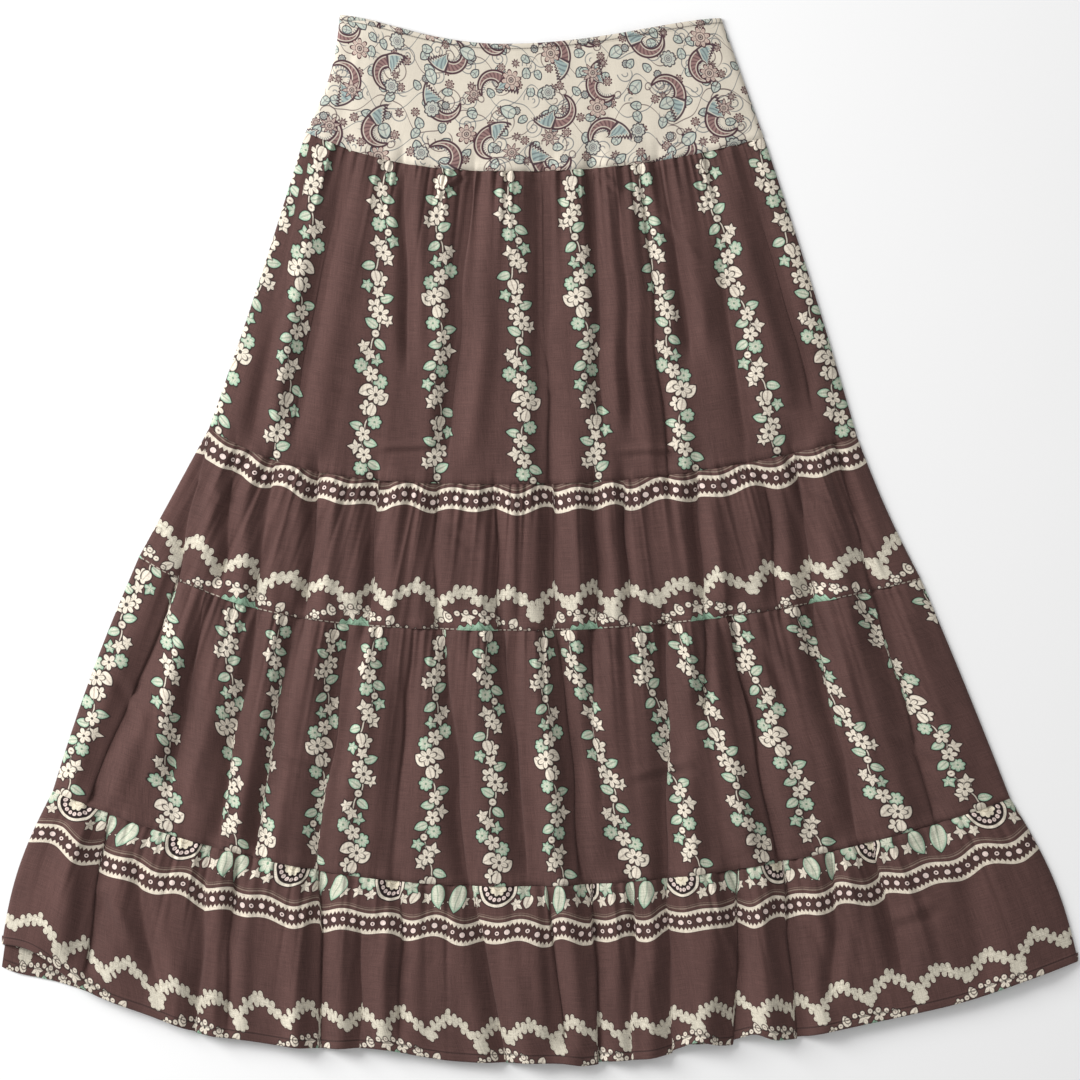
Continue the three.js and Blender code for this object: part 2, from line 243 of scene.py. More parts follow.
def mix(a, b, share):
    return a + (b - a) * share


def bell(offset, half):
    return np.exp(-(offset / half) ** 2)


def smooth(value, low, high):
    share = np.clip((value - low) / (high - low), 0, 1)
    return share * share * (3 - 2 * share)


def line_points(line, across):
    """Points along one line of the skirt, at shares of the way from its left end to its right end."""
    on_left = across < line["lowest"]
    nearness = np.where(on_left, across / line["lowest"], (1 - across) / (1 - line["lowest"]))
    fullness = np.where(on_left, line["full"][0], line["full"][1])
    sag = (1 - np.clip(1 - nearness, 0, 1) ** fullness) ** line["ease"]
    x = mix(line["left"][0], line["right"][0], across)
    y = mix(line["left"][1], line["right"][1], across) - line["hang"] * sag
    return x, y


def hem_drop(x):
    """How far the waves of the front hem hang below its line."""
    return sum(drop * bell(x - place, half) for place, half, drop in HEM_WAVES)


def outline_middle():
    """The middle of the skirt's outline, which lies on the origin."""
    hem = LINES["hem"]
    hem_x, hem_y = line_points(hem, np.linspace(0, 1, 400))
    lowest = (hem_y - hem_drop(hem_x)).min()
    return np.array([(hem["left"][0] + hem["right"][0]) / 2, (LINES["waist"]["left"][1] + lowest) / 2])


def plan_grid(tier, across, down, is_front=True):
    """The cloth of a tier seen from above, as a grid of rows down and columns across."""
    high_x, high_y = line_points(LINES[tier["top"]], across)
    low_x, low_y = line_points(LINES[tier["bottom"]], across)
    if tier["bottom"] == "hem" and is_front:
        low_y = low_y - hem_drop(low_x)
    elif tier["bottom"] == "hem":
        waves = sum(rise * bell(across - place, half) for place, half, rise in BACK_WAVES)
        low_y = low_y + (4 * np.sin(np.pi * across) + waves)
    share = down[:, None]
    x = mix(high_x[None, :], low_x[None, :], share)
    y = mix(high_y[None, :], low_y[None, :], share)
    bulge = np.sin(np.pi * np.clip(share, 0, 1))
    x += bulge * (tier["bow"][1] * across[None, :] ** 6 - tier["bow"][0] * (1 - across[None, :]) ** 6)
    return x, y


def crease_strength(crease, down):
    """How fully a crease has formed at a place down the tier."""
    begins, ends = crease[5:]
    begun = 1.0 if begins == 0 else smooth(down, begins - CREASE_FADE, begins + CREASE_FADE)
    ended = 0.0 if ends == 1 else smooth(down, ends - CREASE_FADE, ends + CREASE_FADE)
    return begun * (1 - ended)


def crease_bend(name, crease, down):
    """How far a crease strays from its straight line on its way down, in millimetres."""
    along = down * TIERS[name]["depth"]
    bend = np.sin(along / 31 + crease[0]) + 0.6 * np.sin(along / 17 + crease[1])
    return 1.7 * bend * np.sin(np.pi * np.clip(down, 0, 1))


def own_creases(name, x, down, sharpness):
    """Height and sideways push of a tier's main creases, in millimetres."""
    lift = np.zeros_like(x)
    push = np.zeros_like(x)
    for crease in CREASES[name]:
        top, bottom, half, depth, lip = crease[:5]
        offset = x - mix(top, bottom, down) - crease_bend(name, crease, down)
        unevenness = 1 + 0.25 * np.sin(down * TIERS[name]["depth"] / 43 + half * top)
        strength = crease_strength(crease, down) * unevenness
        side = np.sign(lip)
        depth = depth * CREASE_DEEPER
        banks = bell(offset - 1.9 * half, half) + bell(offset + 1.9 * half, half)
        lift += strength * CREASE_BANK * depth * banks
        lift += strength * (abs(lip) * bell(offset - 1.7 * half * side, half) - depth * bell(offset, half))
        narrow = half * sharpness
        turn = offset / narrow * bell(offset, narrow)
        lift += strength * side * (0.5 + 0.6 * abs(lip)) * turn * 1.6
        push -= strength * narrow * (0.1 + 0.5 * abs(lip)) * turn
    return lift, push


def creases(name, x, down, sharpness):
    """A tier's creases, evened out with its neighbours' near the seams."""
    tier = TIERS[name]
    lift, push = own_creases(name, x, down, sharpness)
    for other_name, other in TIERS.items():
        is_above = other["bottom"] == tier["top"]
        if not is_above and other["top"] != tier["bottom"]:
            continue
        near = bell((down if is_above else 1 - down) * tier["depth"], SEAM_CALM)
        here = np.full_like(down, 0 if is_above else 1)
        other_lift, other_push = own_creases(other_name, x, 1 - here, sharpness)
        own_lift, own_push = own_creases(name, x, here, sharpness)
        lift += 0.5 * near * (other_lift - own_lift)
        push += 0.5 * near * (other_push - own_push)
    return lift, push


def gathers(name, across, down, width, rng, share):
    """Fine gathers that hang from a tier's top seam, and short puckers above its bottom seam."""
    tier = TIERS[name]
    lift = np.zeros((down.shape[0], across.shape[1]))
    count = tier["gathers"]
    places = (np.arange(count) + rng.uniform(0.15, 0.85, count)) / max(count, 1)
    for place in places:
        drift = rng.normal(0, 0.004)
        half = rng.uniform(1.3, 3.0) * (1 + 0.6 * down)
        reach = tier["reach"] * rng.uniform(0.25, 1.7)
        height = tier["height"] * rng.uniform(0.35, 1.25) * rng.choice([-1, 1])
        offset = (across - place - drift * down) * width
        fade = np.exp(-(down * tier["depth"] / reach) ** 1.4)
        lift += height * bell(offset, half) * fade
    if tier["bottom"] == "hem":
        return lift * share
    for place in rng.uniform(0.02, 0.98, max(count, 30)):
        offset = (across - place) * width
        fade = np.exp(-((1 - down) * tier["depth"] / rng.uniform(5, 22)) ** 1.3)
        lift += rng.uniform(-0.7, 0.7) * bell(offset, rng.uniform(1.6, 3.4)) * fade
    return lift * share


def streaks(name, across, down, width, rng):
    """Long soft wrinkles that run down a tier between its main creases."""
    lift = np.zeros((down.shape[0], across.shape[1]))
    for _ in range(TIERS[name]["streaks"]):
        place, drift = rng.uniform(0.02, 0.98), rng.normal(0, 0.012)
        middle, reach = rng.uniform(-0.1, 1.1), rng.uniform(0.15, 0.6)
        half = rng.uniform(3, 10)
        height = rng.uniform(0.4, 1.0) * rng.choice([-1, 1]) * half / 7
        offset = (across - place - drift * (down - middle)) * width
        lift += height * bell(offset, half) * bell(down - middle, reach)
    return lift


def short_folds(name, x, y):
    """Short slanting folds, each laid where it shows."""
    lift = np.zeros_like(x)
    for start_x, start_y, end_x, end_y, half, depth in SHORT_FOLDS[name]:
        length = math.hypot(end_x - start_x, end_y - start_y)
        along = ((x - start_x) * (end_x - start_x) + (y - start_y) * (end_y - start_y)) / length
        offset = ((y - start_y) * (end_x - start_x) - (x - start_x) * (end_y - start_y)) / length
        fade = smooth(along, -0.25 * length, 0.2 * length) * (1 - smooth(along, 0.8 * length, 1.25 * length))
        lift += depth * fade * (bell(offset - 1.7 * half, half) - bell(offset, half))
    return lift


def ripples(x, y, rng):
    """Slow, shallow waves all over the cloth, between -1 and 1."""
    total = np.zeros_like(x)
    for length in (190, 120, 74, 46, 31):
        turn = rng.uniform(-0.5, 0.5)
        phase = rng.uniform(0, 2 * np.pi)
        along = x * np.cos(turn) + y * np.sin(turn) * 0.35
        total += np.sin(2 * np.pi * along / length + phase + 0.6 * np.sin(y / 57 + phase))
    return total / 5


def lap_share(crease, down):
    """How much of a lap's tucked cloth is left at a place down the tier; it opens out slowly."""
    begins, ends = crease[5:]
    taken = 1.0 if begins == 0 else smooth(down, begins - CREASE_FADE, 1)
    opened = 0.0 if ends == 1 else smooth(down, 0, min(ends + CREASE_FADE, 1))
    return taken * (1 - opened)


def hidden_cloth(name, x, down):
    """Cloth tucked out of sight in each lap, counted from the left side, in millimetres."""
    total = np.zeros_like(x)
    for crease in CREASES[name]:
        top, bottom, lip = crease[0], crease[1], crease[4]
        offset = x - mix(top, bottom, down) - crease_bend(name, crease, down)
        total += LAP_TUCK * abs(lip) * lap_share(crease, down) * smooth(offset, -1.5, 1.5)
    return total


def pinned_row(name, across, length, share):
    """Measures along one row of cloth, stretched so that each printed vine lies in its place."""
    high, low = LINES[TIERS[name]["top"]], LINES[TIERS[name]["bottom"]]
    left, right = (mix(high[end][0], low[end][0], share) for end in ("left", "right"))
    places = np.array([(mix(top, bottom, share) - left) / (right - left) for top, bottom in VINES[name]])
    printed = (np.arange(len(places)) - len(places) // 2) * VINE_SPACING
    marks = np.interp(places, across, length)
    gaps = np.diff(marks, prepend=marks[0] - VINE_MARGIN, append=marks[-1] + VINE_MARGIN)
    reach = np.minimum(VINE_HALF, 0.42 * np.minimum(gaps[:-1], gaps[1:]))
    knots = np.concatenate([marks - reach, marks, marks + reach])
    measures = np.concatenate([printed - reach, printed, printed + reach])
    order = np.argsort(knots)
    knots, measures = knots[order], measures[order]
    before = measures[0] - (knots[0] - length[0])
    after = measures[-1] + (length[-1] - knots[-1])
    knots = np.concatenate([[min(length[0], knots[0]) - 1e-6], knots, [max(length[-1], knots[-1])]])
    return np.interp(length, knots, np.concatenate([[before], measures, [after]]))


def cloth_across(name, across, x, z, down):
    """How far across the cloth each point lies, in millimetres, counting what the folds take up."""
    steps = np.hypot(np.diff(x, axis=1), np.diff(z, axis=1))
    length = np.concatenate([np.zeros((len(down), 1)), np.cumsum(steps, axis=1)], axis=1)
    length += hidden_cloth(name, x, down[:, None])
    if name not in VINES:
        return (length / length[:, -1:] - 0.5) * TIERS[name]["cut"] / MM
    shares = np.clip(down, 0, 1)
    return np.stack([pinned_row(name, across, row, share) for row, share in zip(length, shares)])


def cloth_piece(name, x, y, z, u, v, faces_down=False):
    """A cloth mesh from grids of places and of cloth measures, all in millimetres."""
    rows, columns = x.shape
    middle = outline_middle()
    points = np.stack([x - middle[0], y - middle[1], z], axis=-1).reshape(-1, 3) * MM
    corner = (np.arange(rows - 1)[:, None] * columns + np.arange(columns - 1)[None, :]).ravel()
    faces = np.stack([corner, corner + columns, corner + columns + 1, corner + 1], axis=1)
    if faces_down:
        faces = faces[:, ::-1]
    mesh = bpy.data.meshes.new(name)
    mesh.vertices.add(len(points))
    mesh.vertices.foreach_set("co", points.ravel())
    mesh.loops.add(faces.size)
    mesh.loops.foreach_set("vertex_index", faces.ravel().astype(np.int32))
    mesh.polygons.add(len(faces))
    mesh.polygons.foreach_set("loop_start", np.arange(0, faces.size, 4, dtype=np.int32))
    mesh.polygons.foreach_set("use_smooth", np.ones(len(faces), dtype=bool))
    mesh.update(calc_edges=True)
    cloth = mesh.uv_layers.new(name="Cloth")
    measures = np.stack([u.ravel(), v.ravel()], axis=1) * MM
    cloth.data.foreach_set("uv", measures[faces.ravel()].ravel())
    bake = mesh.uv_layers.new(name="OFBake")
    column_share, row_share = np.meshgrid(np.linspace(0, 1, columns), np.linspace(1, 0, rows))
    places = np.stack([column_share.ravel(), row_share.ravel()], axis=1)
    bake.data.foreach_set("uv", places[faces.ravel()].ravel())
    mesh.validate()
    piece = bpy.data.objects.new(name, mesh)
    bpy.context.collection.objects.link(piece)
    return piece


def seam_groove(down, depth, has_top, has_bottom):
    """Cloth dips where it is sewn, most of all on the line of the seam."""
    groove = np.zeros_like(down)
    if has_top:
        groove -= SEAM_DIP * bell(down * depth, 2.4)
    if has_bottom:
        groove -= SEAM_DIP * bell((1 - down) * depth, 1.6) - 0.5 * bell((1 - down) * depth - 5, 4)
    return groove


def row_shares(tier):
    """Even rows down a tier, and closer ones round a turned edge."""
    shares = list(np.linspace(0, 1, tier["rows"] + 1))
    if tier["bottom"] == "hem":
        edge = 1 - HEM_TURNING / tier["depth"]
        shares += [edge - 0.012, edge - 0.006, edge, edge + 0.006, edge + 0.012, 0.992, 0.996]
    if tier["top"] == "waist":
        edge = WAIST_TURNING / tier["depth"]
        shares += [0.004, 0.008, edge - 0.01, edge - 0.005, edge, edge + 0.005, edge + 0.01]
    return np.array(sorted(set(np.round(shares, 5))))


def turned_edges(tier, down):
    """Height that the turned waist edge and hem add, with the stitched line pressed in."""
    depth = tier["depth"]
    lift = np.zeros_like(down)
    if tier["top"] == "waist":
        below = down * depth
        lift += 0.55 * (1 - smooth(below, WAIST_TURNING - 0.4, WAIST_TURNING + 0.8))
        lift -= 0.45 * bell(below - WAIST_TURNING + 1.2, 0.7) + 0.7 * bell(below, 0.7)
    if tier["bottom"] == "hem":
        above = (1 - down) * depth
        lift += 0.5 * (1 - smooth(above, HEM_TURNING - 0.6, HEM_TURNING + 0.8))
        lift -= 0.45 * bell(above - HEM_TURNING + 1.4, 0.7) + 0.7 * bell(above, 0.7)
    return lift


def front_height(name, x, y, share, lift, side):
    """Height of a front panel's cloth over the surface, rolled down to the back at its sides."""
    tier = TIERS[name]
    raised = mix(*tier["loft"], share) + FRONT_CLEAR + lift + short_folds(name, x, y)
    roll = np.sin(np.clip(side / SIDE_ROLL, 0, 1) * np.pi / 2)
    groove = seam_groove(share, tier["depth"], tier["top"] != "waist", tier["bottom"] != "hem")
    z = REST + np.maximum(raised, 0.25 * raised) * roll + groove + turned_edges(tier, share)
    near = np.clip(side / SIDE_EDGE, 0, 1)
    return mix(EDGE_REST, np.maximum(z, FRONT_LOWEST), np.sqrt(near * (2 - near)))


def front_panel(name):
    """One front panel, folded, gathered and rolled down to the back at its sides."""
    cloth = bpy.context.scene.skirt_cloth
    tier = TIERS[name]
    rng = np.random.default_rng(SEED + list(TIERS).index(name))
    across = np.linspace(0, 1, tier["columns"] + 1)
    down = row_shares(tier)
    x, y = plan_grid(tier, across, down)
    share = down[:, None]
    width = x[:, -1:] - x[:, :1]
    lift, push = creases(name, x, share * np.ones_like(x), cloth.fold_sharpness)
    lift += gathers(name, across[None, :], share, width, rng, cloth.gather_share)
    lift += streaks(name, across[None, :], share, width, rng)
    lift += ripples(x, y, rng) * cloth.ripple_height / MM
    side = np.minimum(across, 1 - across)[None, :] * width
    z = front_height(name, x, y, share, lift, side)
    x = x + push * smooth(side, 2, 14)
    u = cloth_across(name, across, x, z, down)
    v = share * tier["depth"] * np.ones_like(x)
    return cloth_piece(name + "_front_cloth", *tuck_under(tier, (x, y, z, u, v)))


def tuck_under(tier, grids):
    """Turns the waist edge and the hem under, as a narrow strip behind the cloth."""
    x, y, z, u, v = grids
    top, low = [], []
    if tier["top"] == "waist":
        top = [(x[:1], y[:1] - inward, z[:1] - drop, u[:1], v[:1] - inward) for inward, drop in WAIST_STRIP]
    if tier["bottom"] == "hem":
        low = [(x[-1:], y[-1:] + inward, np.maximum(z[-1:] - drop, 0.7), u[-1:], v[-1:] + inward)
               for inward, drop in HEM_STRIP]
    return [np.concatenate(rows) for rows in zip(*top, grids, *low)]


def back_panel(name):
    """One back panel, which lies flat on the surface under the skirt."""
    cloth = bpy.context.scene.skirt_cloth
    tier = TIERS[name]
    rng = np.random.default_rng(SEED + 50 + list(TIERS).index(name))
    across = np.linspace(0, 1, tier["columns"] // 2 + 1)
    down = np.linspace(0, 1, tier["rows"] // 3 + 1)
    x, y = plan_grid(tier, across, down, is_front=False)
    width = x[:, -1:] - x[:, :1]
    side = np.minimum(across, 1 - across)[None, :] * width
    share = down[:, None]
    lift = gathers(name, across[None, :], share, width, rng, cloth.gather_share)
    lift += 0.5 * ripples(x * 1.7, y, rng)
    z = cloth.back_gap / MM + BACK_REST + BACK_WAVE * np.tanh(lift / BACK_WAVE) * smooth(side, 0, 12)
    z = mix(EDGE_REST, z, smooth(side, 0, 6))
    length = (across - 0.5)[None, :] * tier["cut"] / MM * np.ones_like(x)
    v = share * tier["depth"] * np.ones_like(x)
    return cloth_piece(name + "_back_cloth", x, y, z, length + 34, v, faces_down=True)


def math_step(operation):
    """A method that works one kind of sum on a field and other values."""
    return lambda self, *others: self.math(operation, *others)


class Field:
    """A number that varies over the cloth: one output of a shader node."""

    def __init__(self, tree, socket):
        self.tree = tree
        self.socket = socket

    def math(self, operation, *others):
        inputs = dict(enumerate((self, *others)))
        return Field(self.tree, add_node(self.tree, "Math", inputs, operation=operation).outputs[0])

    __add__ = __radd__ = math_step("ADD")
    __mul__ = __rmul__ = math_step("MULTIPLY")
    __sub__ = math_step("SUBTRACT")
    __truediv__ = math_step("DIVIDE")
    __pow__ = math_step("POWER")
    __abs__ = math_step("ABSOLUTE")
    sin = math_step("SINE")
    cos = math_step("COSINE")
    floor = math_step("FLOOR")
    fraction = math_step("FRACT")
    heading_with = math_step("ARCTAN2")
    low = math_step("MINIMUM")
    high = math_step("MAXIMUM")

    def __rsub__(self, other):
        return (self * -1) + other

    def step(self, start, end):
        """0 below start and 1 above end, with a soft rise between them."""
        inputs = {"Value": self, "From Min": start, "From Max": end}
        node = add_node(self.tree, "MapRange", inputs, interpolation_type="SMOOTHSTEP")
        return Field(self.tree, node.outputs["Result"])

    def edge(self):
        """The inside of a crisply printed form, from the distance in from its rim."""
        return self.step(-0.2, 0.3)

    def line(self, half, soft=0.25):
        """1 within a half width of zero, and 0 outside it."""
        return 1 - abs(self).step(half - soft, half + soft)


def plug(tree, slot, value):
    """Links a field or another node's output to a socket, or sets the socket's own value."""
    if isinstance(value, Field):
        value = value.socket
    if isinstance(value, bpy.types.NodeSocket):
        tree.links.new(value, slot)
    elif slot.type == "RGBA":
        slot.default_value = (*value, 1)
    else:
        slot.default_value = value


def add_node(tree, kind, inputs, **settings):
    """Adds a shader node with its settings and what goes into its sockets."""
    node = tree.nodes.new("ShaderNode" + kind)
    for name, value in settings.items():
        setattr(node, name, value)
    for socket, value in inputs.items():
        plug(tree, node.inputs[socket], value)
    return node


def paint(tree, under, over, amount):
    """One colour laid over another where the amount is 1."""
    return add_node(tree, "Mix", {0: amount, 6: under, 7: over}, data_type="RGBA").outputs[2]


def wave(place, length):
    """A sine wave along the cloth, of one length."""
    return (place * (math.tau / length)).sin()


def apart(dx, dy):
    """How far a place lies from the middle of a motif."""
    return (dx * dx + dy * dy) ** 0.5


def chart(place, rows):
    """Looks a place from 0 to 1 up in a chart of equal rows, each of four numbers from 0 to 1."""
    node = add_node(place.tree, "ValToRGB", {0: place})
    ramp = node.color_ramp
    ramp.interpolation = "CONSTANT"
    for index, row in enumerate(rows):
        stop = ramp.elements[index] if index < 2 else ramp.elements.new(index / len(rows))
        stop.position = index / len(rows)
        stop.color = row
    parts = add_node(place.tree, "SeparateColor", {0: node.outputs["Color"]})
    sockets = [*parts.outputs[:3], node.outputs["Alpha"]]
    return [Field(place.tree, socket) for socket in sockets], node.outputs["Color"]


# Each row is one kind of printed motif: lobes, how solid its middle is, how pointed its lobes are, the
# share of its size taken by its eye, its colour and the colour of its eye and veins.
KINDS = {
    "flower": (5, 0.24, 0, 0.18, "cream", "outline"),
    "open_flower": (6, 0.16, 0, 0.22, "cream", "outline"),
    "rose": (7, 0.66, 0, 0.16, "mint", "leaf_shade"),
    "cream_ivy": (5, 0.50, 0.7, 0, "cream", "halo"),
    "mint_ivy": (5, 0.56, 0.7, 0, "mint", "leaf_shade"),
    "leaf": (1, 0, 0.95, 0, "mint", "leaf_shade"),
    "cream_leaf": (1, 0, 0.75, 0, "cream", "halo"),
    "berry": (1, 1, 0, 0.30, "cream", "halo"),
    "ring_flower": (8, 0.34, 0, 0.27, "rose_pink", "plum"),
    "aqua_flower": (9, 0.74, 0, 0.30, "sea", "slate"),
    "star_flower": (8, 0.30, 0.4, 0.24, "rust", "plum"),
    "slate_leaf": (1, 0, 0.7, 0, "aqua", "slate"),
}
# A chart holds numbers from 0 to 1, so lobes, distances and sizes are kept in it as shares of these.
LOBE_UNIT = 8
FARTHEST = 20
LARGEST = 20

# Each row is one further ink of the prints, in screen values.
INKS = {
    "leaf_shade": (104, 136, 112), "rust": (132, 84, 88), "plum": (72, 48, 56), "aqua": (142, 176, 172),
    "slate": (90, 98, 106), "ochre": (146, 116, 112), "bead": (226, 206, 198), "halo": (140, 124, 116),
    "sea": (156, 172, 168), "rose_pink": (158, 114, 110), "border": (216, 205, 188),
    "petal": (206, 199, 182), "petal_shade": (140, 128, 112), "hairline": (146, 130, 116),
    "rosette": (222, 212, 190), "rosette_ring": (168, 156, 130),
}


def palette():
    """Every colour of the prints, by name."""
    colours = bpy.context.scene.skirt_colours
    grounds = ("ground", "cream", "mint", "outline", "yoke_ground")
    shades = {name: tuple(getattr(colours, name)) for name in grounds}
    return shades | {name: srgb(*values) for name, values in INKS.items()}


class Print:
    """The printed colour of a cloth, laid down layer by layer on its ground."""

    def __init__(self, tree, ground):
        self.tree = tree
        self.colours = palette()
        self.shade = self.colours[ground]

    def lay(self, colour, amount):
        """Lays a colour, named or read from a chart, over the print where the amount is 1."""
        over = self.colours[colour] if isinstance(colour, str) else colour
        self.shade = paint(self.tree, self.shade, over, amount)

    def keep_within(self, before, amount):
        """Keeps what was laid on an earlier state of the print only where the amount is 1."""
        self.shade = paint(self.tree, before, self.shade, amount)


def kind_share(kind):
    """Where a kind of motif stands among all of them, from 0 to 1."""
    return (list(KINDS).index(kind) + 0.5) / len(KINDS)


def motif(ink, dx, dy, kind, turn, size, halo, drawn=False):
    """Prints one motif, of the kind, turn and size that its fields give."""
    place = (kind + 0.5) / len(KINDS)
    forms = [(row[0] / LOBE_UNIT, *row[1:4]) for row in KINDS.values()]
    (lobes, solid, pointed, eye), _ = chart(place, forms)
    fill, eye_fill = (chart(place, [(*ink.colours[row[part]], 1) for row in KINDS.values()])[1]
                      for part in (4, 5))
    radius = apart(dx, dy)
    heading = (dy.heading_with(dx) + turn).math("WRAP", math.pi, -math.pi)
    angle = heading * lobes * (LOBE_UNIT / 2)
    round_lobe = abs(angle.cos()) ** 0.55
    sharp_lobe = (1 - abs(angle.sin())) ** 1.5
    lobe = round_lobe + (sharp_lobe - round_lobe) * pointed
    longer_ahead = 1 + pointed * (heading.cos() * 0.33 - 0.05)
    inside = size * (solid + (1 - solid) * lobe) * longer_ahead - radius
    ink.lay("outline", inside.step(-halo - 0.5, -0.4) * 0.95)
    ink.lay(fill, inside.step(-0.25, 0.25))
    ink.lay(eye_fill, (inside - 0.2).line(0.35) * 0.4)
    ink.lay("cream", inside.step(0.6, 1.8) * 0.35 + inside.step(1.8, 4.5) * 0.3)
    gap = (0.34 - lobe).step(0, 0.3) * (radius / size).step(0.1, 0.3) * inside.step(-0.1, 0.3)
    ink.lay("outline", gap * 0.5)
    vein = (angle.sin() * radius).line(0.32, 0.25) * inside.step(0.5, 1.6)
    ink.lay(eye_fill, vein * 0.55)
    if drawn:
        ink.lay("plum", (inside - 0.35).line(0.5, 0.3) * 0.8)
        ink.lay("yoke_ground", (inside - 1.5).line(0.3, 0.3) * 0.8)
        ink.lay(eye_fill, (radius - size * 0.46).line(0.4, 0.3) * inside.step(0, 0.4) * 0.8)
    ink.lay(eye_fill, (size * eye - radius).step(-0.2, 0.25) * 0.9)
    if drawn:
        ink.lay("yoke_ground", (radius - size * eye * 0.5).line(0.3, 0.3) * 0.7)


# Each row is one place along a vine, on its left, middle and right: kind, distance from the stem, turn
# and size.
VINE_LEFT = [
    ("rose", -7, 0.1, 6.8), ("cream_ivy", -6.4, 0.3, 7.6), ("leaf", -2, 0.55, 9.8),
    ("mint_ivy", -7.4, 0.8, 6.6), ("flower", -5, 0.2, 7.6), ("leaf", -2, 0.42, 10.2),
    ("cream_ivy", -6.8, 0.9, 7), ("rose", -7.2, 0.4, 7), ("cream_leaf", -2.4, 0.58, 11),
    ("flower", -5.6, 0.3, 7.2), ("leaf", -2, 0.47, 9.6), ("cream_ivy", -6, 0.5, 7.2),
]
VINE_MIDDLE = [
    ("flower", -0.6, 0.35, 7.4), ("berry", 1, 0, 3.2), ("flower", 0.8, 0.6, 7.8), ("cream_leaf", 0, 0.8, 9),
    ("cream_ivy", 0.6, 0.15, 6.6), ("open_flower", -1, 0.4, 8.6), ("berry", -0.8, 0, 3.4),
    ("cream_ivy", 0.8, 0.7, 7), ("flower", 0.2, 0.9, 7.6), ("open_flower", 0.6, 0.1, 8.4),
    ("cream_leaf", -0.4, 0.2, 9), ("flower", 0.4, 0.5, 7.2),
]
VINE_RIGHT = [
    ("leaf", 2, 0.93, 10), ("mint_ivy", 6.8, 0.7, 6.8), ("cream_ivy", 7, 0.1, 7.2),
    ("flower", 5.4, 0.85, 7.4), ("leaf", 2, 0.06, 9.8), ("cream_ivy", 6.6, 0.35, 7),
    ("leaf", 2.2, 0.9, 9.6), ("mint_ivy", 7.2, 0.2, 6.6), ("rose", 7.2, 0.55, 6.8),
    ("cream_leaf", 2.4, 0.1, 11), ("rose", 7, 0.3, 6.6), ("leaf", 2, 0.97, 9.8),
]
# Lengths along a vine: one place of its chart, how far every other vine is moved down, and its bends.
VINE_CELL = 18.75
VINE_DROP = 96
STEM_WAVE = 75
STEM_WOBBLE = 19


def slot_fields(place, rows):
    """Reads a chart of motifs: kind, distance, turn and size at a place from 0 to 1."""
    table = [(kind_share(kind), reach / (2 * FARTHEST) + 0.5, turn, size / LARGEST)
             for kind, reach, turn, size in rows]
    (kind, reach, turn, size), _ = chart(place, table)
    return kind * len(KINDS) - 0.5, reach * (2 * FARTHEST) - FARTHEST, turn * math.tau, size * LARGEST


def vine_print(ink, u, v):
    """Upright vines, mirrored and moved down on every other stripe."""
    stripe = (u / VINE_SPACING + 0.5).floor()
    odd = abs(stripe.math("MODULO", 2))
    x = (u - stripe * VINE_SPACING) * (1 - odd * 2)
    along = v + odd * VINE_DROP + 400
    stem = x - wave(along, STEM_WAVE) * STEM_SWAY - wave(along, STEM_WOBBLE) * 0.8
    ink.lay("outline", stem.line(1.5, 0.7) * 0.6)
    ink.lay("cream", stem.line(0.55, 0.3) * 0.85)
    for shift, rows in ((0, VINE_LEFT), (0.33, VINE_RIGHT), (0.67, VINE_MIDDLE)):
        index = (along / VINE_CELL + shift).floor()
        middle = (index + (0.5 - shift)) * VINE_CELL
        kind, reach, turn, size = slot_fields(((index + 0.5) / len(rows)).fraction(), rows)
        dx = x - wave(middle, STEM_WAVE) * STEM_SWAY - reach
        motif(ink, dx, along - middle, kind, turn, size, 1.6)


# How high the ribbon runs over the border's edge, and the pitch of its beads and teeth.
RIBBON_HEIGHT = 122
BEAD_PITCH = 10.4
TOOTH_PITCH = 4.6


def ribbon_wave(u):
    """How far a wavy ribbon lies above its mean height at a place along the cloth."""
    return wave(u, 54) * 2.6 + wave(u, 83) * 1.6


def beaded_ribbon(ink, u, height):
    """A wavy ribbon: two cream bands with toothed inner edges, and beads on dark cloth between them."""
    d = height - ribbon_wave(u)
    ink.lay("outline", d.line(10.8, 0.5) * 0.3)
    teeth = abs((u / TOOTH_PITCH).fraction() - 0.5) * 2
    inner = 7.7 - teeth * 2.9
    ink.lay("border", (abs(d) - inner).step(-0.15, 0.3) * (1 - abs(d).step(9.8, 10.4)))
    cell = (u / BEAD_PITCH).floor()
    middle = (cell + 0.5) * BEAD_PITCH
    dx, dy = u - middle, height - ribbon_wave(middle)
    third = ((cell + 600) / 3).fraction().step(0.5, 0.6)
    size = 2.5 - third * 0.5
    inside = size - (dx * dx * 0.75 + dy * dy) ** 0.5
    ink.lay("outline", (inside + 0.9).step(-0.3, 0.3) * 0.6)
    ink.lay("bead", inside.edge() - (inside - 1.1).edge() * third)
    hairline = (d - 13.6).line(0.5, 0.35) + (d - 15.6).line(0.3, 0.25) * 0.6
    ink.lay("hairline", hairline * 0.75)


GARLAND_ARCH = 50
# Each row is one strand of petals along the garland: height from its middle, pitch, shift and length.
GARLAND_STRANDS = [(3.9, 5.6, 0, 2.3), (-3.9, 6, 0.45, 2.5), (0.2, 4.6, 0.2, 2.4)]


def garland_middle(u):
    """Height of the garland's middle, and how full it is, at a place along the cloth."""
    step = u / GARLAND_ARCH
    away = abs(step.fraction() * 2 - 1)
    arch = 1 - away ** 1.35
    tall = (step * math.pi).cos() * 0.5
    high = (step.floor() * math.pi * 0.5 + 0.7).sin()
    return 20.5 + arch * (18 + high * 3) - away ** 4 * tall * 5, away ** 5 * (0.8 + tall)


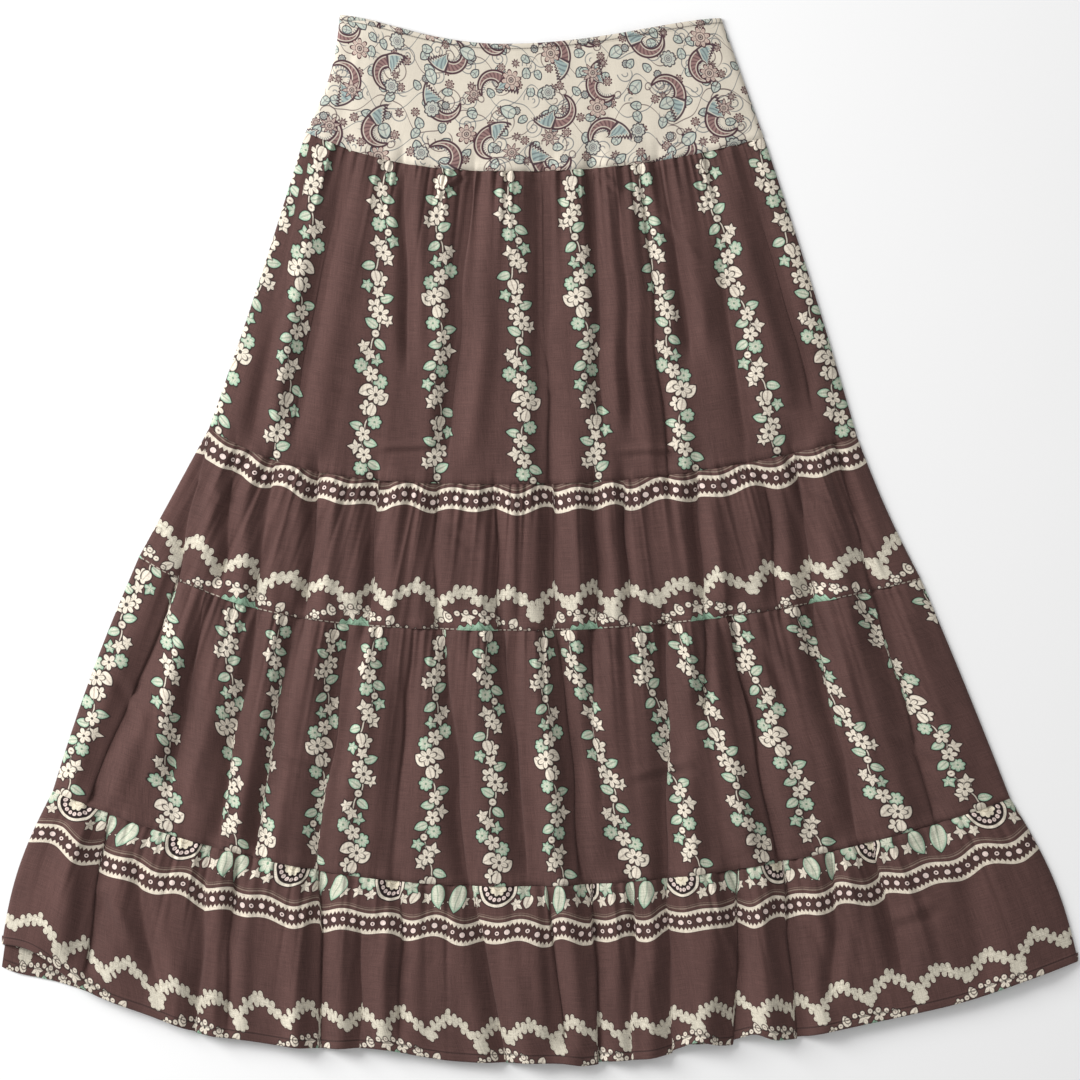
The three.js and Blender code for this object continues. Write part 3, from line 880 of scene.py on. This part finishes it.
def garland_posy(u, w):
    """How far inside the round posy in each dip of the garland a place lies."""
    dip = (u / GARLAND_ARCH + 0.5).floor()
    tall = (dip * math.pi).cos()
    dx, dy = u - dip * GARLAND_ARCH, w - 18.5 + tall * 3.5
    size = (6.6 + tall * 1.2) * (0.76 + abs((dy.heading_with(dx) * 3.5).sin()) * 0.24)
    return size - (dx * dx * 0.8 + dy * dy) ** 0.5


def garland(ink, u, w):
    """A cream garland with round petals on both sides, climbing and falling in arches."""
    middle, deep = garland_middle(u)
    core = 2.3 + deep + (u * 1.9).sin() * 0.6 - abs(w - middle)
    for height, pitch, shift, size in GARLAND_STRANDS:
        cell = (u / pitch + shift).floor()
        place = (cell + (0.5 - shift)) * pitch
        centre, full = garland_middle(place)
        jitter = (cell * 2.4).sin()
        dx = u - place + jitter * 0.5
        dy = w - centre - height * (1 + full * 0.3) - jitter * 1.3
        core = core.high(size + full * 0.5 + jitter * 0.25 - (dx * dx + dy * dy * 0.62) ** 0.5)
    core = core.high(garland_posy(u, w))
    ink.lay("outline", core.step(-1.3, -0.3) * 0.5)
    ink.lay("petal", core.step(-0.25, 0.25))
    ink.lay("petal_shade", (core - 0.9).line(0.25, 0.3) * 0.45)


ARC_SPACING = 128
# Each row is one place along an arc, from left to right: kind, height, turn and size.
ARC_FLOWERS = [
    ("berry", 2, 0, 0.2), ("flower", 5.6, 0.3, 5), ("cream_leaf", 8, 0.7, 8.4), ("cream_ivy", 12.6, 0.2, 7.2),
    ("flower", 12, 0.6, 6.4), ("flower", 9.4, 0.9, 5.8), ("cream_leaf", 4, 0.85, 7.6), ("berry", 2, 0, 0.2),
]
# Each row is one berry along an arc: its height and size.
ARC_BERRIES = [("berry", height, 0, size) for height, size in (
    (0.5, 0.2), (1.6, 1.2), (2.6, 1.7), (4.6, 2.2), (8.8, 2.4), (12.8, 2.6), (15.6, 2.5), (16.8, 2.2),
    (17.2, 2.4), (16.6, 2.6), (14.6, 2.4), (11.6, 2.5), (7.8, 2.3), (4, 2), (2.4, 1.6), (1.4, 1.2))]


def motif_row(ink, u, w, period, rows, halo, shift=0):
    """A row of motifs along the cloth, one for each row of its chart in every period."""
    width = period / len(rows)
    cell = u / width + shift
    index = cell.floor()
    place = ((index + len(rows) * 100 + 0.5) / len(rows)).fraction()
    kind, height, turn, size = slot_fields(place, rows)
    motif(ink, (cell - index - 0.5) * width, w - height, kind, turn, size, halo)


def floral_arcs(ink, u, w):
    """Low mounds along the edge: mint leaves below, flowers and berries above them."""
    away = ((u / ARC_SPACING).fraction() - 0.5) * ARC_SPACING
    dashes = (u / 5).fraction().step(0.3, 0.4) * (w - 0.9).line(0.5, 0.3)
    ink.lay("cream", dashes * 0.6 * (1 - abs(away).step(44, 60)))
    mound = 7 * (1 - (away / 20) ** 2) + (away * 0.7).sin() * 1.8 - w
    ink.lay("outline", mound.step(-1.4, -0.2) * 0.7)
    ink.lay("mint", mound.edge())
    ribs = (abs(away) * 1.1 + w * 0.9).sin()
    ink.lay("leaf_shade", ribs.step(0.5, 0.95) * mound.step(0.4, 1.2) * 0.7)
    motif_row(ink, u, w, ARC_SPACING, ARC_FLOWERS, 1)
    motif_row(ink, u, w, ARC_SPACING, ARC_BERRIES, 0.7, 0.5)


MEDALLION_SPACING = 140
BARE = ("berry", 0, 0, 0.2)
# Each row is one place along the seam, starting between two medallions: kind, depth, turn and size.
HANGING_TOP = [
    ("leaf", 1, 0.72, 20), ("rose", 2, 0.8, 10), BARE, ("mint_ivy", 4.4, 0.3, 11), ("leaf", 1, 0.80, 18),
]
HANGING_LOW = [
    ("cream_ivy", 16, 0.1, 6.9), ("cream_ivy", 15, 0.5, 6.9), ("cream_ivy", 12.4, 0.7, 6.8),
    ("cream_ivy", 16.2, 0.3, 6.6), BARE, BARE, ("cream_ivy", 16, 0.9, 6.8), ("cream_leaf", 9, 0.7, 10),
    ("cream_ivy", 14.4, 0.4, 6.8), ("cream_ivy", 17, 0.6, 6.6),
]


def hanging_medallions(ink, u, below):
    """Half medallions that hang from the seam, ringed with beads, and leaves between them."""
    for rows in (HANGING_LOW, HANGING_TOP):
        motif_row(ink, u, below, MEDALLION_SPACING, rows, 1)
    away = ((u / MEDALLION_SPACING).fraction() - 0.5) * MEDALLION_SPACING
    radius = (away * away * 0.9 + below * below) ** 0.5
    ink.lay("outline", 1 - radius.step(20, 21))
    ink.lay("cream", (radius - 18.2).line(1.3))
    angle = below.heading_with(away)
    cell = (angle * (8 / math.pi)).fraction() - 0.5
    bead = apart(cell * 4.9, radius - 12.6)
    ink.lay("bead", (2 - bead).edge())
    ink.lay("outline", (0.7 - bead).edge() * 0.5)
    ink.lay("rosette", (7.4 + abs((angle * 4.5).sin()) * 1.8 - radius).edge())
    ink.lay("rosette_ring", (radius - 3.6).line(0.4, 0.3) * 0.7)


# Heights over the border's edge, in millimetres: what the hem takes up, and where the motifs end.
HEM_TRIM = 5.5
ARCS_TOP = 21
MEDALLIONS_LOW = 135


def border_print(ink, u, v, depth, is_lowest):
    """The border cloth from its edge up: arcs, garland, plain cloth, beaded ribbon and medallions."""
    w = depth - v
    beaded_ribbon(ink, u, w - RIBBON_HEIGHT)
    garland(ink, u, w)
    above = w + (HEM_TRIM if is_lowest else 0)
    before = ink.shade
    floral_arcs(ink, u, above)
    ink.keep_within(before, 1 - above.step(ARCS_TOP, ARCS_TOP + 1))
    if is_lowest:
        before = ink.shade
        hanging_medallions(ink, u, depth - w)
        ink.keep_within(before, (w - MEDALLIONS_LOW).step(-0.5, 0.5))
        stitch_dashes_and_groove_shade(ink, u, w - (HEM_TURNING - 1.4))


THREAD_PITCH = 0.8
# Each row is one layer of the weave's shade: how closely it changes across and down the cloth. The last row
# is not weave: it makes slow patches of painted shade.
WEAVE_LAYERS = [(1.9, 0.05, 0), (0.05, 1.7, 0), (0.03, 0.012, 0)]


def noise_field(tree, place, scale, detail, roughness=0.5):
    """Soft random shade over the cloth, from 0 to 1."""
    inputs = {"Vector": place, "Scale": scale, "Detail": detail, "Roughness": roughness}
    return Field(tree, add_node(tree, "TexNoise", inputs).outputs[0])


def ground_weave(ink, u, v, slub):
    """Shades the print with fine threads both ways and slubs, and lays slow patches of painted shade over it;
    gives the threads.
    """
    tree = ink.tree
    place = add_node(tree, "CombineXYZ", {0: u, 1: v}).outputs[0]
    layers = [add_node(tree, "VectorMath", {0: place, 1: stretch}, operation="MULTIPLY").outputs[0]
              for stretch in WEAVE_LAYERS]
    weft, warp, painted_shade_patches = (noise_field(tree, layer, 1, 3) for layer in layers)
    dye = noise_field(tree, place, 0.8, 4, 0.7) - 0.5
    # The slow patches are painted shade: broad soft zones made darker and lighter over the cloth.
    gain = (weft + warp - 1 + dye) * slub + 1 + (painted_shade_patches - 0.5) * slub * 0.7
    inputs = {0: ink.shade, "Scale": gain}
    ink.shade = add_node(tree, "VectorMath", inputs, operation="SCALE").outputs[0]
    return weft + warp


def stitch_dashes_and_groove_shade(ink, u, distance):
    """A pressed line of stitches: a wide dark band of painted shade where the line is pressed in, and a dash
    of thread in every pitch.
    """
    # Painted shade of the pressed-in stitch line, laid wider than the thread.
    ink.lay("outline", distance.line(0.7, 0.5) * 0.45)
    # The dashes are the thread itself.
    dash = (u / 2.6).fraction().step(0.3, 0.4)
    ink.lay("outline", dash * distance.line(0.3, 0.2) * 0.5)


def new_material(name):
    material = bpy.data.materials.new(name)
    material.use_nodes = True
    material.node_tree.nodes.clear()
    return material, material.node_tree


def surface(tree, inputs):
    """The shader that a material ends in."""
    shader = add_node(tree, "BsdfPrincipled", inputs)
    add_node(tree, "OutputMaterial", {0: shader.outputs[0]})


def start_cloth(name, ground):
    """A new cloth: its material, its print, and the measures across and down it in millimetres."""
    material, tree = new_material(name)
    measure = add_node(tree, "UVMap", {}, uv_map="Cloth")
    parts = add_node(tree, "SeparateXYZ", {0: measure.outputs[0]})
    u, v = (Field(tree, socket) * 1000 for socket in parts.outputs[:2])
    return material, Print(tree, ground), u, v


def finish_cloth(ink, u, v, slub, roughness, sheen, bump):
    """The shader of a printed cloth: soft sheen, and a bump from its threads."""
    threads = ground_weave(ink, u, v, slub)
    weave = wave(u, THREAD_PITCH) * wave(v, THREAD_PITCH) * 0.25 + threads
    relief = add_node(ink.tree, "Bump", {"Strength": bump, "Distance": 0.0003, "Height": weave})
    surface(ink.tree, {
        "Base Color": ink.shade, "Roughness": roughness, "Specular IOR Level": 0.15,
        "Sheen Weight": sheen, "Sheen Roughness": 0.5, "Normal": relief.outputs[0],
    })


def tier_cloth(name):
    """The cloth of a tier: vines on the long ones, a border on the short ones."""
    material, ink, u, v = start_cloth(CLOTH_NAMES[name], "ground")
    if name in VINES:
        vine_print(ink, u, v)
    else:
        border_print(ink, u, v, TIERS[name]["depth"], name == "tier_4")
    finish_cloth(ink, u, v, 0.85, 0.8, 0.08, 0.6)
    return material


YOKE_REPEAT = 156
CRESCENT_HEIGHT = 50
# Each row is one crescent of the yoke's repeat: place across and up in its cell, turn and size.
CRESCENTS = [(0.58, 0.42, 0.10, 0.62), (0.44, 0.60, 0.47, 0.55), (0.52, 0.38, 0.72, 0.60),
             (0.40, 0.55, 0.30, 0.56), (0.60, 0.45, 0.88, 0.60), (0.50, 0.62, 0.58, 0.54)]
# Each row is one flower of the yoke's repeat: kind, place across and up in its cell, and size.
YOKE_FLOWERS = [
    ("ring_flower", 0.50, 0.55, 10), ("aqua_flower", 0.42, 0.40, 7), ("star_flower", 0.60, 0.50, 10),
    ("slate_leaf", 0.50, 0.60, 11), ("aqua_flower", 0.55, 0.45, 7.6), ("ring_flower", 0.45, 0.50, 9),
    ("slate_leaf", 0.55, 0.45, 12), ("star_flower", 0.40, 0.55, 9), ("ring_flower", 0.60, 0.40, 9.6),
    ("aqua_flower", 0.50, 0.60, 6.6), ("slate_leaf", 0.40, 0.50, 11), ("star_flower", 0.55, 0.45, 8.6),
]
YOKE_SPRIGS = [
    ("aqua_flower", 0.45, 0.55, 3.8), ("slate_leaf", 0.60, 0.40, 8), ("star_flower", 0.50, 0.60, 4.4),
    ("slate_leaf", 0.42, 0.46, 7.4), ("ring_flower", 0.55, 0.50, 4.4), ("slate_leaf", 0.50, 0.50, 8.4),
    ("ring_flower", 0.40, 0.60, 4),
]
# Each row is one winding stem: how far down it starts, swing, length of a wave, phase and colour.
STEMS = [(4, 13, 78, 0.4, "plum"), (30, 10, 52, 2.1, "slate"), (16, 12, 78, 3.6, "slate")]
STEM_ROW = 54
# Each row is one set of curls: cells in a repeat, their height, shift, pitch of the spiral and colour.
CURLS = [(5, 27, 0.6, 4.4, "slate"), (3, 41, 0.15, 6.4, "plum")]


def repeat_cell(u, v, columns, rows, height, shift):
    """A place in its cell of a repeat, in millimetres, with the cell's share of the chart and its width."""
    width = YOKE_REPEAT / columns
    across = u / width + shift + columns * 20
    column = across.floor()
    up = v / height + shift + (column * 0.5).fraction()
    row = up.floor()
    which = ((column + row * 1.37 * columns + 0.5) / (columns * rows)).fraction()
    return (across - column) * width, (up - row) * height, which, width


def crescents(ink, u, v):
    """Curved paisley drops with a fanned head, feathers on the inner edge and a curled tail."""
    x, y, which, width = repeat_cell(u, v, 3, 2, CRESCENT_HEIGHT, 0.2)
    (place_x, place_y, turn, size), _ = chart(which, CRESCENTS)
    dx, dy = x - place_x * width, y - place_y * CRESCENT_HEIGHT
    radius = apart(dx, dy)
    arc = size * 23
    angle = (dy.heading_with(dx) + turn * math.tau).math("WRAP", math.pi, -math.pi)
    along = (angle + 1.9) / 3.1
    half = along.high(0.01) ** 0.6 * 6
    on_body = along.step(0, 0.05) * (1 - along.step(0.99, 1.01))
    body = (half - abs(radius - arc)).low(10) * on_body - (1 - on_body)
    fan_edge = 1.24 + abs((radius * 1.1).sin()) * 0.04
    head = (6.4 + (along - 1) * 22 - abs(radius - arc)).low((fan_edge - along) * arc * 3.1)
    head = head.low((along - 0.97) * arc * 3.1)
    feather = (arc - radius - half).line(2.6, 0.6) * on_body * (angle * 26).sin().step(0.1, 0.5)
    ink.lay("slate", feather * 0.75)
    for form, fill, rib in ((body, "ochre", "plum"), (head, "sea", "slate")):
        ink.lay(fill, form.step(-0.2, 0.2))
        ink.lay("yoke_ground", (form - 1.7).line(0.55, 0.3) * 0.85)
        ink.lay(rib, (angle * 22 + radius * 0.8).sin().step(0, 0.6) * form.step(2.2, 2.7) * 0.6)
        ink.lay("plum", (form - 0.4).line(0.95, 0.35) * 0.95)
    tail = apart(radius - arc - 2.6, (angle + 1.95) * arc)
    ink.lay("plum", (tail - 2.8).line(0.45, 0.3) * 0.8)


def scattered(ink, u, v, columns, rows, height, shift, flowers):
    """Flowers and leaves spread over a repeat, each at its own place in its cell."""
    x, y, which, width = repeat_cell(u, v, columns, rows, height, shift)
    table = [(kind_share(kind), across, up, size / LARGEST) for kind, across, up, size in flowers]
    (kind, place_x, place_y, size), _ = chart(which, table)
    dx, dy = x - place_x * width, y - place_y * height
    motif(ink, dx, dy, kind * len(KINDS) - 0.5, which * 40, size * LARGEST, 0.1, drawn=True)


def curls(ink, u, v):
    """Thin spiral tendrils between the flowers."""
    for columns, height, shift, pitch, colour in CURLS:
        x, y, which, width = repeat_cell(u, v, columns, 3, height, shift)
        dx, dy = x - width * 0.5, y - height * 0.5 + (which * 50).sin() * 3
        radius = apart(dx, dy)
        angle = dy.heading_with(dx) + which * 30
        spiral = ((radius / pitch - angle / math.tau).fraction() - 0.5) * pitch
        mask = (1 - radius.step(pitch * 2, pitch * 2.2)) * (angle * 0.5).sin().step(-0.7, -0.3)
        ink.lay(colour, spiral.line(0.5, 0.35) * mask * 0.8)


def stems(ink, u, v):
    """Thin stems that wind along the cloth and join the flowers."""
    for drop, swing, length, phase, colour in STEMS:
        bend = (u * (math.tau / length) + phase).sin() * swing + (u * (math.tau / 26) + phase).sin() * 2
        row = ((v + drop + bend) / STEM_ROW).fraction() * STEM_ROW - STEM_ROW / 2
        ink.lay(colour, row.line(0.5, 0.35) * 0.8)


def yoke_cloth():
    """The yoke's cream cotton with its paisley."""
    material, ink, u, v = start_cloth(CLOTH_NAMES["yoke"], "yoke_ground")
    stems(ink, u, v)
    curls(ink, u, v)
    scattered(ink, u, v, 7, 1, 23, 0.3, YOKE_SPRIGS)
    scattered(ink, u, v, 6, 1, 19, 0.8, YOKE_SPRIGS)
    crescents(ink, u, v)
    scattered(ink, u, v, 4, 3, 36, 0.1, YOKE_FLOWERS)
    stitch_dashes_and_groove_shade(ink, u, v - (WAIST_TURNING - 1.2))
    finish_cloth(ink, u, v, 0.16, 0.85, 0.06, 0.4)
    return material


def wear(piece, name, side):
    """Gives a panel its cloth, hangs it on the root body, and hides the model part that it stands for."""
    piece.data.materials.append(cloth_of(name))
    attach(piece, "root")
    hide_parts(f"{name}_{side}")


def cloth_of(name):
    """The cloth of a panel, made once and shared by its front and back."""
    found = bpy.data.materials.get(CLOTH_NAMES[name])
    if found:
        return found
    return yoke_cloth() if name == "yoke" else tier_cloth(name)


class SKIRT_OT_backs(bpy.types.Operator):
    """Lays the back panels flat on the surface"""

    bl_idname = "skirt.backs"
    bl_label = "Back Panels"

    def execute(self, context):
        for name in TIERS:
            wear(back_panel(name), name, "back")
        return {"FINISHED"}


class SKIRT_OT_yoke(bpy.types.Operator):
    """Lays the fitted front yoke over its back"""

    bl_idname = "skirt.yoke"
    bl_label = "Front Yoke"

    def execute(self, context):
        wear(front_panel("yoke"), "yoke", "front")
        return {"FINISHED"}


class SKIRT_OT_tiers(bpy.types.Operator):
    """Gathers the four front tiers and lays them over their backs"""

    bl_idname = "skirt.tiers"
    bl_label = "Gathered Tiers"

    def execute(self, context):
        for name in list(TIERS)[1:]:
            wear(front_panel(name), name, "front")
        return {"FINISHED"}


LIGHT_PLACE = (-2.5, 1.1, 1.5)
LIGHT_SIZE = 1.6
SENSOR = 36
MEAN_HEIGHT = 0.006


class SKIRT_OT_studio(bpy.types.Operator):
    """Sets the pale floor, the soft lights and the camera straight above"""

    bl_idname = "skirt.studio"
    bl_label = "Studio"

    def execute(self, context):
        studio = context.scene.skirt_studio
        studio_floor()
        soft_light("left key", LIGHT_PLACE, LIGHT_SIZE, studio.key_strength)
        sky = bpy.data.worlds.new("studio")
        sky.use_nodes = True
        background = sky.node_tree.nodes["Background"]
        background.inputs[0].default_value = (1, 1, 1, 1)
        background.inputs[1].default_value = studio.fill_strength
        context.scene.world = sky
        context.scene.view_settings.view_transform = "Standard"
        camera = bpy.data.cameras.new("camera above")
        camera.sensor_width = SENSOR
        camera.lens = SENSOR * (studio.camera_height - MEAN_HEIGHT) / studio.field
        stand = bpy.data.objects.new("camera above", camera)
        stand.location = (0, 0, studio.camera_height)
        bpy.context.collection.objects.link(stand)
        context.scene.camera = stand
        return {"FINISHED"}


def studio_floor():
    """A wide pale sheet of paper with a faint grain."""
    mesh = bpy.data.meshes.new("paper floor")
    form = bmesh.new()
    bmesh.ops.create_grid(form, x_segments=8, y_segments=8, size=6)
    form.to_mesh(mesh)
    form.free()
    floor = bpy.data.objects.new("paper floor", mesh)
    bpy.context.collection.objects.link(floor)
    material, tree = new_material("pale paper")
    grain = add_node(tree, "TexNoise", {"Scale": 40})
    shade = paint(tree, (0.93, 0.93, 0.93), (0.95, 0.95, 0.95), grain.outputs[0])
    surface(tree, {"Base Color": shade, "Roughness": 0.9})
    mesh.materials.append(material)
    return floor


def soft_light(name, place, size, power):
    """A large square light that faces the skirt."""
    lamp = bpy.data.lights.new(name, "AREA")
    lamp.size = size
    lamp.energy = power
    stand = bpy.data.objects.new(name, lamp)
    stand.location = place
    stand.rotation_mode = "QUATERNION"
    stand.rotation_quaternion = Vector(place).to_track_quat("Z", "Y")
    bpy.context.collection.objects.link(stand)


class SKIRT_PT_pieces(bpy.types.Panel):
    """Lists the steps that sew the skirt"""

    bl_label = "Skirt"
    bl_idname = "SKIRT_PT_pieces"
    bl_space_type = "VIEW_3D"
    bl_region_type = "UI"
    bl_category = "Skirt"

    def draw(self, context):
        for operator in OPERATORS:
            self.layout.operator(operator.bl_idname)


OPERATORS = (SKIRT_OT_backs, SKIRT_OT_yoke, SKIRT_OT_tiers, SKIRT_OT_studio)
CLASSES = (SkirtCloth, SkirtColours, SkirtStudio, *OPERATORS, SKIRT_PT_pieces)


def register():
    for cls in CLASSES:
        bpy.utils.register_class(cls)
    bpy.types.Scene.skirt_cloth = bpy.props.PointerProperty(type=SkirtCloth)
    bpy.types.Scene.skirt_colours = bpy.props.PointerProperty(type=SkirtColours)
    bpy.types.Scene.skirt_studio = bpy.props.PointerProperty(type=SkirtStudio)


def unregister():
    del bpy.types.Scene.skirt_studio
    del bpy.types.Scene.skirt_colours
    del bpy.types.Scene.skirt_cloth
    for cls in reversed(CLASSES):
        bpy.utils.unregister_class(cls)


def sew_skirt():
    """Makes every piece in order."""
    register()
    bpy.ops.skirt.backs()
    bpy.ops.skirt.yoke()
    bpy.ops.skirt.tiers()
    bpy.ops.skirt.studio()


if __name__ == "__main__":
    sew_skirt()
